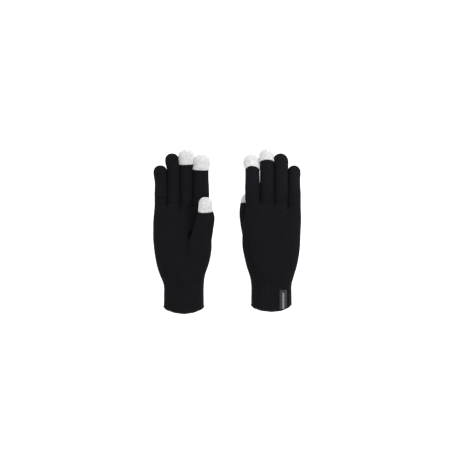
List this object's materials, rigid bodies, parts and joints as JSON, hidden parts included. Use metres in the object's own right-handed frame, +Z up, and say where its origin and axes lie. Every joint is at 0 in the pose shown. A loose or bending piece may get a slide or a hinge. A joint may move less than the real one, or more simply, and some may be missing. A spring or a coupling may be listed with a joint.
{
  "type": "pair of touchscreen gloves",
  "caption": "Pair of black knitted gloves, one palm up and one back up, with ribbed cuffs and pale conducting tips on thumb, index and middle finger.",
  "frame": {"origin": "centre of the pair's footprint, on the surface it lies on", "axes": "+Z up, +Y from the cuffs to the fingertips, +X from the palm-up glove to the back-up glove"},
  "size_m": [0.2078, 0.2288, 0.0501],
  "materials": {
    "black_knit": "matte knit",
    "rib_knit": "matte ribbed knit",
    "touch_knit": "matte knit",
    "hem_thread": "matte overlocked thread",
    "elastic": "matte",
    "label_weave": "woven, slight sheen",
    "label_thread": "thread"
  },
  "bodies": {
    "palm_up_hand": {"palm_up_hand_shell": "black_knit", "palm_up_rib_cuff": "rib_knit", "palm_up_hem_edge": "hem_thread", "palm_up_wrist_elastic": "elastic", "palm_up_woven_label": "label_weave", "palm_up_label_stitches": "label_thread"},
    "palm_up_index": {"palm_up_index_finger": "black_knit", "palm_up_index_touch_tip": "touch_knit"},
    "palm_up_middle": {"palm_up_middle_finger": "black_knit", "palm_up_middle_touch_tip": "touch_knit"},
    "palm_up_ring": {"palm_up_ring_finger": "black_knit"},
    "palm_up_little": {"palm_up_little_finger": "black_knit"},
    "palm_up_thumb_body": {"palm_up_thumb": "black_knit", "palm_up_thumb_touch_tip": "touch_knit"},
    "back_up_hand": {"back_up_hand_shell": "black_knit", "back_up_rib_cuff": "rib_knit", "back_up_hem_edge": "hem_thread", "back_up_wrist_elastic": "elastic", "back_up_woven_label": "label_weave", "back_up_label_stitches": "label_thread"},
    "back_up_index": {"back_up_index_finger": "black_knit", "back_up_index_touch_tip": "touch_knit"},
    "back_up_middle": {"back_up_middle_finger": "black_knit", "back_up_middle_touch_tip": "touch_knit"},
    "back_up_ring": {"back_up_ring_finger": "black_knit"},
    "back_up_little": {"back_up_little_finger": "black_knit"},
    "back_up_thumb_body": {"back_up_thumb": "black_knit", "back_up_thumb_touch_tip": "touch_knit"}
  },
  "joints": [
    {"name": "back_up_glove_lift", "type": "slide", "parent": "palm_up_hand", "child": "back_up_hand", "axis": [0, 0, 1], "range_m": [0, 0.15]},
    {"name": "palm_up_index_bend", "type": "hinge", "parent": "palm_up_hand", "child": "palm_up_index", "pos_m": [-0.0373, 0.0526, 0.0208], "axis": [1, 0, 0], "range_deg": [0, 75]},
    {"name": "palm_up_middle_bend", "type": "hinge", "parent": "palm_up_hand", "child": "palm_up_middle", "pos_m": [-0.0573, 0.0486, 0.0198], "axis": [1, 0, 0], "range_deg": [0, 75]},
    {"name": "palm_up_ring_bend", "type": "hinge", "parent": "palm_up_hand", "child": "palm_up_ring", "pos_m": [-0.0761, 0.0466, 0.0197], "axis": [1, 0, 0], "range_deg": [0, 75]},
    {"name": "palm_up_little_bend", "type": "hinge", "parent": "palm_up_hand", "child": "palm_up_little", "pos_m": [-0.0939, 0.0436, 0.019], "axis": [1, 0, 0], "range_deg": [0, 75]},
    {"name": "palm_up_thumb_lift", "type": "hinge", "parent": "palm_up_hand", "child": "palm_up_thumb_body", "pos_m": [-0.03896, -0.04524, 0.02605], "axis": [0.9911, -0.1334, 0], "range_deg": [0, 45]},
    {"name": "back_up_index_bend", "type": "hinge", "parent": "back_up_hand", "child": "back_up_index", "pos_m": [0.0347, 0.0526, 0.0231], "axis": [-1, 0, 0], "range_deg": [0, 50]},
    {"name": "back_up_middle_bend", "type": "hinge", "parent": "back_up_hand", "child": "back_up_middle", "pos_m": [0.0551, 0.0486, 0.0241], "axis": [-1, 0, 0], "range_deg": [0, 50]},
    {"name": "back_up_ring_bend", "type": "hinge", "parent": "back_up_hand", "child": "back_up_ring", "pos_m": [0.0745, 0.0466, 0.0242], "axis": [-1, 0, 0], "range_deg": [0, 50]},
    {"name": "back_up_little_bend", "type": "hinge", "parent": "back_up_hand", "child": "back_up_little", "pos_m": [0.0929, 0.0436, 0.0249], "axis": [-1, 0, 0], "range_deg": [0, 50]},
    {"name": "back_up_thumb_lift", "type": "hinge", "parent": "back_up_hand", "child": "back_up_thumb_body", "pos_m": [0.03879, -0.04161, 0.00868], "axis": [-0.9917, -0.1284, 0], "range_deg": [0, 45]}
  ]
}
